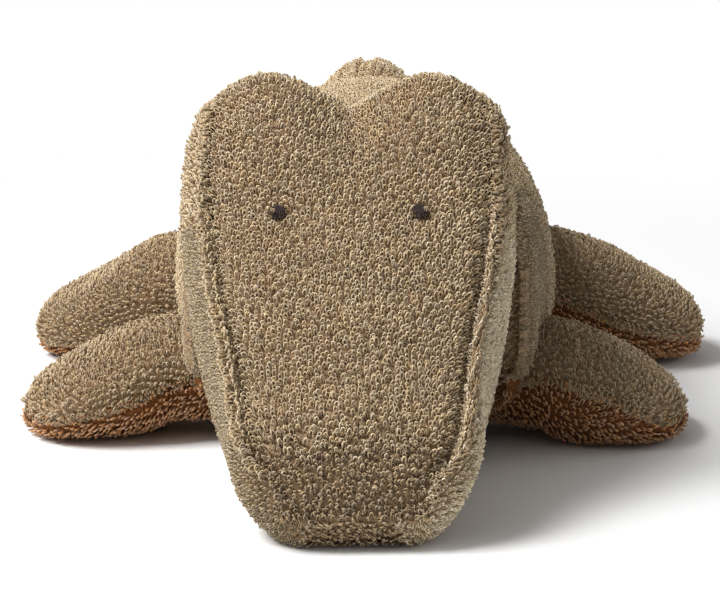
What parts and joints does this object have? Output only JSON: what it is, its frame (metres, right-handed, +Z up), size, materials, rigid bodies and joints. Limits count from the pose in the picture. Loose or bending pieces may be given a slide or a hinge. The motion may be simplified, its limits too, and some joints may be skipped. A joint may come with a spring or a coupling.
{
  "type": "plush crocodile",
  "caption": "Soft stuffed crocodile lying flat on its belly, in looped terry cloth, with stitched eyes, splayed legs and a tapering tail.",
  "frame": {"origin": "under the middle of the whole animal, on the surface that it lies on", "axes": "+Z up, nose towards -Y and tail towards +Y, the animal's own left towards +X"},
  "size_m": [0.26, 0.4509, 0.1291],
  "materials": {
    "khaki_terry": "matte looped pile",
    "rust_terry": "matte looped pile",
    "polyester_filling": "matte fibre",
    "charcoal_thread": "satin embroidery"
  },
  "bodies": {
    "torso": {"back_panel": "khaki_terry", "belly_panel": "rust_terry", "body_filling": "polyester_filling"},
    "head": {"face_panel": "khaki_terry", "cheek_panel_left": "khaki_terry", "cheek_panel_right": "khaki_terry", "chin_panel": "rust_terry", "head_filling": "polyester_filling", "eye_left": "charcoal_thread", "eye_right": "charcoal_thread"},
    "tail": {"tail_side_left": "khaki_terry", "tail_side_right": "khaki_terry", "tail_underside": "rust_terry", "tail_filling": "polyester_filling"},
    "front_left_leg": {"front_left_leg_upper": "khaki_terry", "front_left_leg_sole": "rust_terry", "front_left_leg_filling": "polyester_filling"},
    "front_right_leg": {"front_right_leg_upper": "khaki_terry", "front_right_leg_sole": "rust_terry", "front_right_leg_filling": "polyester_filling"},
    "back_left_leg": {"back_left_leg_upper": "khaki_terry", "back_left_leg_sole": "rust_terry", "back_left_leg_filling": "polyester_filling"},
    "back_right_leg": {"back_right_leg_upper": "khaki_terry", "back_right_leg_sole": "rust_terry", "back_right_leg_filling": "polyester_filling"}
  },
  "joints": [
    {"name": "head_turn", "type": "hinge", "parent": "torso", "child": "head", "pos_m": [0, -0.16397, 0.055], "axis": [0, 0, 1], "range_deg": [-12, 12], "stiffness_Nm_per_rad": 0.6},
    {"name": "tail_sway", "type": "hinge", "parent": "torso", "child": "tail", "pos_m": [0, 0.07603, 0.045], "axis": [0, 0, 1], "range_deg": [-20, 20], "stiffness_Nm_per_rad": 0.3},
    {"name": "front_left_leg_lift", "type": "hinge", "parent": "torso", "child": "front_left_leg", "pos_m": [0.065, -0.07697, 0.02159], "axis": [-0.1219, -0.9925, 0], "range_deg": [-10, 20], "stiffness_Nm_per_rad": 0.3},
    {"name": "front_right_leg_lift", "type": "hinge", "parent": "torso", "child": "front_right_leg", "pos_m": [-0.065, -0.07697, 0.02159], "axis": [-0.1219, 0.9925, 0], "range_deg": [-10, 20], "stiffness_Nm_per_rad": 0.3},
    {"name": "back_left_leg_lift", "type": "hinge", "parent": "torso", "child": "back_left_leg", "pos_m": [0.0675, 0.03203, 0.02775], "axis": [0.2079, -0.9781, 0], "range_deg": [-10, 20], "stiffness_Nm_per_rad": 0.3},
    {"name": "back_right_leg_lift", "type": "hinge", "parent": "torso", "child": "back_right_leg", "pos_m": [-0.0675, 0.03203, 0.02775], "axis": [0.2079, 0.9781, 0], "range_deg": [-10, 20], "stiffness_Nm_per_rad": 0.3}
  ]
}
